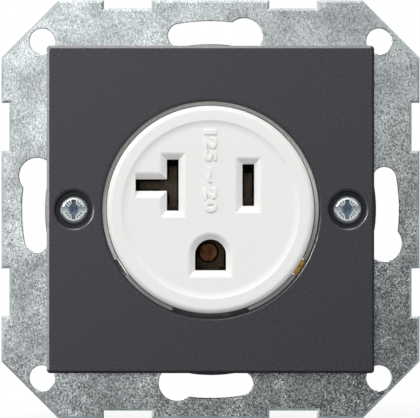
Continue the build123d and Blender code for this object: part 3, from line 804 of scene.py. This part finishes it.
class SOCKET_OT_threads(bpy.types.Operator):
    """Wind a thread round the shank of each terminal screw"""

    bl_idname = "socket.threads"
    bl_label = "Terminal Screw Threads"

    steps: bpy.props.IntProperty(name="Steps", description="Steps in one turn of the thread", default=32)

    def execute(self, context):
        marks = context.scene.socket_marks
        for name in TERMINALS:
            joint = next(j for j in frame["joints"] if j["name"] == f"{name}_screw_turn")
            seat = Vector(joint["pos_m"])
            inwards = Vector(joint["axis"])
            tip = max((Vector(corner) - seat).dot(inwards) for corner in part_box(f"{name}_terminal_screw"))
            turned = inwards.to_track_quat("Z", "Y").to_matrix().to_4x4()
            mesh = self.wind(f"{name}_screw_thread", marks, tip)
            mesh.transform(Matrix.Translation(seat) @ turned)
            material = frame["nodes"][f"{name}_terminal_screw"].data.materials[0]
            new_piece(mesh.name, mesh, material, f"{name}_screw")
        return {"FINISHED"}

    def wind(self, name, marks, length):
        """A ridge along Z from the head's seat to the shank's tip, with its foot inside the shank."""
        half_share = 0.42
        sink_share = 0.25
        half = marks.thread_pitch * half_share
        foot = marks.shank_r - marks.thread_height * sink_share
        turns = (length - 2 * half) / marks.thread_pitch
        shape = bmesh.new()
        ridge = ((foot, 0, 0), (marks.shank_r + marks.thread_height, 0, half), (foot, 0, 2 * half))
        shape.faces.new([shape.verts.new(corner) for corner in ridge])
        bmesh.ops.spin(
            shape,
            geom=shape.verts[:] + shape.edges[:] + shape.faces[:],
            axis=(0, 0, 1),
            dvec=(0, 0, marks.thread_pitch / self.steps),
            angle=turns * math.tau,
            steps=round(turns * self.steps),
        )
        bmesh.ops.recalc_face_normals(shape, faces=shape.faces)
        return mesh_from(shape, name)


def soft_box(scene, name, place, size, power, flagged_to=None):
    """A square area lamp that faces the object; flags can keep it to the gloss of a few pieces."""
    lamp = bpy.data.lights.new(name, "AREA")
    lamp.shape = "SQUARE"
    lamp.size = size
    lamp.energy = power
    box = bpy.data.objects.new(name, lamp)
    box.location = place
    box.rotation_mode = "QUATERNION"
    box.rotation_quaternion = (-Vector(place)).to_track_quat("-Z", "Y")
    box.light_linking.receiver_collection = flagged_to
    box.visible_diffuse = flagged_to is None
    scene.collection.objects.link(box)


def seen_directly(tree):
    """1 where a ray from the camera, a mirror or a clear body arrives, and 0 for light on a surface."""
    path = add_node(tree, "ShaderNodeLightPath").outputs
    either = add_node(
        tree,
        "ShaderNodeMath",
        {0: path["Is Camera Ray"], 1: path["Is Glossy Ray"]},
        operation="MAXIMUM",
    )
    return add_node(
        tree,
        "ShaderNodeMath",
        {0: either.outputs[0], 1: path["Is Transmission Ray"]},
        operation="MAXIMUM",
    ).outputs[0]


def light_world(scene, ambient):
    """White where it is seen, and a weaker even light where it falls on the object."""
    world = bpy.data.worlds.new("Studio surroundings")
    world.use_nodes = True
    tree = world.node_tree
    tree.nodes.clear()
    strength = add_node(
        tree, "ShaderNodeMapRange", {"Value": seen_directly(tree), "To Min": ambient, "To Max": 1.0}
    )
    background = add_node(
        tree, "ShaderNodeBackground", {"Color": WHITE, "Strength": strength.outputs[0]}
    )
    add_node(tree, "ShaderNodeOutputWorld", {"Surface": background.outputs[0]})
    scene.world = world


def floor_material(colour, white_share):
    """Pale matt floor that goes towards white for the camera and still takes a shadow."""
    material, tree, _ = start_material("Pale studio floor")
    camera_ray = add_node(tree, "ShaderNodeLightPath").outputs["Is Camera Ray"]
    share = add_node(tree, "ShaderNodeMath", {0: camera_ray, 1: white_share}, operation="MULTIPLY")
    matt = add_node(tree, "ShaderNodeBsdfDiffuse", {"Color": opaque(colour)})
    white = add_node(tree, "ShaderNodeEmission", {"Color": WHITE, "Strength": 1.0})
    mixed = add_node(
        tree, "ShaderNodeMixShader", {0: share.outputs[0], 1: matt.outputs[0], 2: white.outputs[0]}
    )
    end_material(tree, mixed)
    return material


def card_material(stage, card):
    """Card for the metal to mirror: dark at the lower right, then grey, and light at the upper left.

    A light patch is near the middle, and all of the shading is milder further out.
    """
    material, tree, coordinates = start_material("Shaded studio card")
    across_card = add_node(
        tree,
        "ShaderNodeVectorMath",
        {0: coordinates, 1: Vector((-math.sin(card.card_lean), 0, math.cos(card.card_lean)))},
        operation="DOT_PRODUCT",
    ).outputs["Value"]
    grey = add_node(
        tree,
        "ShaderNodeMapRange",
        {
            "Value": across_card,
            "From Min": card.dark_edge - card.dark_blend,
            "From Max": card.dark_edge + card.dark_blend,
            "To Max": card.grey_share,
        },
        interpolation_type="SMOOTHSTEP",
    ).outputs[0]
    outer_light = add_node(
        tree,
        "ShaderNodeMapRange",
        {
            "Value": across_card,
            "From Min": card.light_edge - card.light_blend,
            "From Max": card.light_edge + card.light_blend,
        },
        interpolation_type="SMOOTHSTEP",
    ).outputs[0]
    flat_place = add_node(
        tree, "ShaderNodeVectorMath", {0: coordinates, 1: FRONT_PLANE}, operation="MULTIPLY"
    ).outputs[0]
    from_patch = add_node(
        tree, "ShaderNodeVectorMath", {0: flat_place, 1: Vector(card.patch_place)}, operation="DISTANCE"
    ).outputs["Value"]
    patch = add_node(
        tree,
        "ShaderNodeMapRange",
        {"Value": from_patch, "From Min": card.patch_radius, "From Max": 0.0},
        interpolation_type="SMOOTHSTEP",
    ).outputs[0]
    light = add_node(tree, "ShaderNodeMath", {0: outer_light, 1: patch}, operation="MAXIMUM").outputs[0]
    light_share = add_node(tree, "ShaderNodeMath", {0: grey, 1: light}, operation="ADD").outputs[0]
    from_middle = add_node(
        tree, "ShaderNodeVectorMath", {0: flat_place}, operation="LENGTH"
    ).outputs["Value"]
    far_share = add_node(
        tree,
        "ShaderNodeMapRange",
        {"Value": from_middle, "From Min": card.card_reach / 2, "From Max": card.card_reach},
        interpolation_type="SMOOTHSTEP",
    ).outputs[0]
    shades = []
    for near, far in ((stage.card_dark, stage.far_dark), (stage.card_light, stage.far_light)):
        shade = add_node(
            tree, "ShaderNodeMix", {0: far_share, 6: opaque(near), 7: opaque(far)}, data_type="RGBA"
        )
        shades.append(shade.outputs[2])
    colour = add_node(
        tree, "ShaderNodeMix", {0: light_share, 6: shades[0], 7: shades[1]}, data_type="RGBA"
    ).outputs[2]
    glow = add_node(tree, "ShaderNodeEmission", {"Color": colour, "Strength": card.card_strength})
    end_material(tree, glow)
    return material


def hang_card(scene, name, size, turn, place, material):
    """A square card that only shows in mirrors, so it sets how metal and gloss shade."""
    shape = bmesh.new()
    bmesh.ops.create_grid(shape, x_segments=1, y_segments=1, size=size / 2)
    bmesh.ops.rotate(shape, verts=shape.verts, matrix=turn)
    bmesh.ops.translate(shape, verts=shape.verts, vec=place)
    mesh = mesh_from(shape, name)
    mesh.materials.append(material)
    card = bpy.data.objects.new(name, mesh)
    card.visible_camera = False
    card.visible_diffuse = False
    card.visible_shadow = False
    scene.collection.objects.link(card)


class SOCKET_OT_stage(bpy.types.Operator):
    """Set up the floor, the cards, the soft boxes, the surroundings and the camera"""

    bl_idname = "socket.stage"
    bl_label = "Studio Stage"

    floor_radius: length_property("Floor radius", "Radius of the round floor", 300)
    white_share: number_property("White share", "How far the floor goes to white where it is seen", 0.85)
    key_place: place_property("Key place", "Middle of the soft box above", (-0.3, -0.75, 1.05))
    key_size: length_property("Key size", "Width of the soft box above", 700)
    side_place: place_property("Side place", "Middle of the soft box at the left", (-1.1, -0.3, 0.17))
    side_size: length_property("Side size", "Width of the soft box at the left", 400)
    fill_place: place_property("Fill place", "Middle of the soft box at the right", (0.95, -0.56, 0.11))
    fill_size: length_property("Fill size", "Width of the soft box at the right", 400)
    catch_place: place_property("Catch place", "Middle of the catch light", (-0.83, -0.77, 0.39))
    catch_size: length_property("Catch size", "Width of the catch light", 300)
    back_place: place_property("Back place", "Middle of the soft box behind", (-0.5, 1.2, 0.9))
    back_size: length_property("Back size", "Width of the soft box behind", 900)
    rim_distance: length_property("Rim light distance", "Rim lights to the middle", 1100)
    rim_forward: number_property("Rim light lead", "How far forward the rim lights are, as a share", 0.065)
    rim_size: length_property("Rim light size", "Width of each rim light", 500)
    dark_distance: length_property("Dark card distance", "Dark cards to the middle", 500)
    dark_size: length_property("Dark card size", "Width of each dark card", 900)
    dark_back: length_property("Dark card offset", "How far back the dark cards are", 100)
    card_distance: length_property("Card distance", "Shaded card in front of the object", 1350)
    card_size: length_property("Card size", "Width and height of the shaded card", 8000)
    card_strength: number_property("Card strength", "How strongly the shaded card glows", 1.55)
    card_lean: number_property("Card lean", "How far left the card's light side leans", 0.6, "ROTATION")
    card_reach: length_property("Card reach", "Where the card's shading is mild", 800)
    dark_edge: length_property("Dark edge", "Where the card's dark part ends", -56)
    dark_blend: length_property("Dark blend", "Half the width of that edge", 45)
    light_edge: length_property("Light edge", "Where the card's outer light part starts", 220)
    light_blend: length_property("Light blend", "Half the width of that edge", 80)
    grey_share: number_property("Grey share", "How light the card's grey part is", 0.42)
    patch_place: place_property("Light patch", "Middle of the card's light patch", (-0.16, 0, 0.07))
    patch_radius: length_property("Patch radius", "Where the light patch ends", 160)

    def execute(self, context):
        scene = context.scene
        stage = scene.socket_stage
        self.lay_floor(scene, stage)
        self.hang_cards(scene, stage)
        soft_box(scene, "key_soft_box", self.key_place, self.key_size, stage.key_power)
        soft_box(scene, "side_soft_box", self.side_place, self.side_size, stage.side_power)
        soft_box(scene, "fill_soft_box", self.fill_place, self.fill_size, stage.fill_power)
        edged = bpy.data.collections.new("Pieces with lit edges")
        for node in ("cover_plate", "cover_screws"):
            edged.objects.link(frame["nodes"][node])
        for name, angle in RIM_ANGLES.items():
            across = math.cos(math.radians(angle))
            up = math.sin(math.radians(angle))
            place = Vector((across, -self.rim_forward, up)) * self.rim_distance
            soft_box(scene, f"{name}_rim_light", place, self.rim_size, stage.rim_power, edged)
        soft_box(scene, "catch_light", self.catch_place, self.catch_size, stage.catch_power, edged)
        soft_box(scene, "back_soft_box", self.back_place, self.back_size, stage.back_power)
        light_world(scene, stage.ambient)
        self.place_camera(scene, stage)
        scene.view_settings.view_transform = "Standard"
        return {"FINISHED"}

    def lay_floor(self, scene, stage):
        segments = 96
        shape = bmesh.new()
        bmesh.ops.create_circle(shape, cap_ends=True, segments=segments, radius=self.floor_radius)
        bmesh.ops.translate(shape, verts=shape.verts, vec=(0, 0, CAD_LOW.z))
        mesh = mesh_from(shape, "floor")
        mesh.materials.append(floor_material(stage.floor, self.white_share))
        floor = bpy.data.objects.new("floor", mesh)
        floor.visible_diffuse = False
        floor.visible_glossy = False
        scene.collection.objects.link(floor)

    def hang_cards(self, scene, stage):
        """The card behind the camera that the metal mirrors, and dark ones below and at the right."""
        shaded = card_material(stage, self)
        dark = bpy.data.materials.new("Black card")
        dark.use_nodes = True
        dark_shader = dark.node_tree.nodes["Principled BSDF"]
        dark_shader.inputs["Base Color"].default_value = opaque(stage.card_dark)
        upright = Matrix.Rotation(QUARTER_TURN, 3, "X")
        sideways = Matrix.Rotation(QUARTER_TURN, 3, "Y")
        level = Matrix.Identity(3)
        in_front = (0, -self.card_distance, 0)
        below = (0, self.dark_back, -self.dark_distance)
        at_right = (self.dark_distance, self.dark_back, 0)
        hang_card(scene, "shaded_card", self.card_size, upright, in_front, shaded)
        hang_card(scene, "low_card", self.dark_size, level, below, dark)
        hang_card(scene, "right_card", self.dark_size, sideways, at_right, dark)

    def place_camera(self, scene, stage):
        near_limit = 10 * MM
        lens = bpy.data.cameras.new("front_camera")
        lens.sensor_width = stage.sensor
        lens.lens = stage.sensor * stage.view_distance / stage.view_width
        lens.clip_start = near_limit
        camera = bpy.data.objects.new("front_camera", lens)
        frame_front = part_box("cover_plate")[1].y
        camera.location = (-stage.view_shift, frame_front - stage.view_distance, stage.view_shift)
        camera.rotation_euler = (QUARTER_TURN, 0, 0)
        scene.collection.objects.link(camera)
        scene.camera = camera


class SOCKET_PT_looks(bpy.types.Panel):
    """Lists the socket's finishes and pieces"""

    bl_idname = "SOCKET_PT_looks"
    bl_label = "Wall Socket"
    bl_space_type = "VIEW_3D"
    bl_region_type = "UI"
    bl_category = "Wall Socket"

    def draw(self, context):
        layout = self.layout
        for operator in OPERATORS:
            layout.operator(operator.bl_idname)
        for group in (
            context.scene.socket_colours,
            context.scene.socket_marks,
            context.scene.socket_stage,
        ):
            for name in group.__annotations__:
                layout.prop(group, name)


OPERATORS = (
    SOCKET_OT_support_frame,
    SOCKET_OT_cover,
    SOCKET_OT_screws,
    SOCKET_OT_screw_ticks,
    SOCKET_OT_face,
    SOCKET_OT_numerals,
    SOCKET_OT_contacts,
    SOCKET_OT_housing,
    SOCKET_OT_terminals,
    SOCKET_OT_threads,
    SOCKET_OT_stage,
)
GROUPS = {
    "socket_colours": SocketColours,
    "socket_marks": SocketMarks,
    "socket_stage": SocketStage,
}


def register():
    for group in GROUPS.values():
        bpy.utils.register_class(group)
    for name, group in GROUPS.items():
        setattr(bpy.types.Scene, name, bpy.props.PointerProperty(type=group))
    for operator in OPERATORS:
        bpy.utils.register_class(operator)
    bpy.utils.register_class(SOCKET_PT_looks)


def unregister():
    bpy.utils.unregister_class(SOCKET_PT_looks)
    for operator in reversed(OPERATORS):
        bpy.utils.unregister_class(operator)
    for name in GROUPS:
        delattr(bpy.types.Scene, name)
    for group in GROUPS.values():
        bpy.utils.unregister_class(group)


def main():
    register()
    bpy.ops.socket.support_frame()
    bpy.ops.socket.cover()
    bpy.ops.socket.screws()
    bpy.ops.socket.screw_ticks()
    bpy.ops.socket.face()
    bpy.ops.socket.numerals()
    bpy.ops.socket.contacts()
    bpy.ops.socket.housing()
    bpy.ops.socket.terminals()
    bpy.ops.socket.threads()
    bpy.ops.socket.stage()


if __name__ == "__main__":
    main()
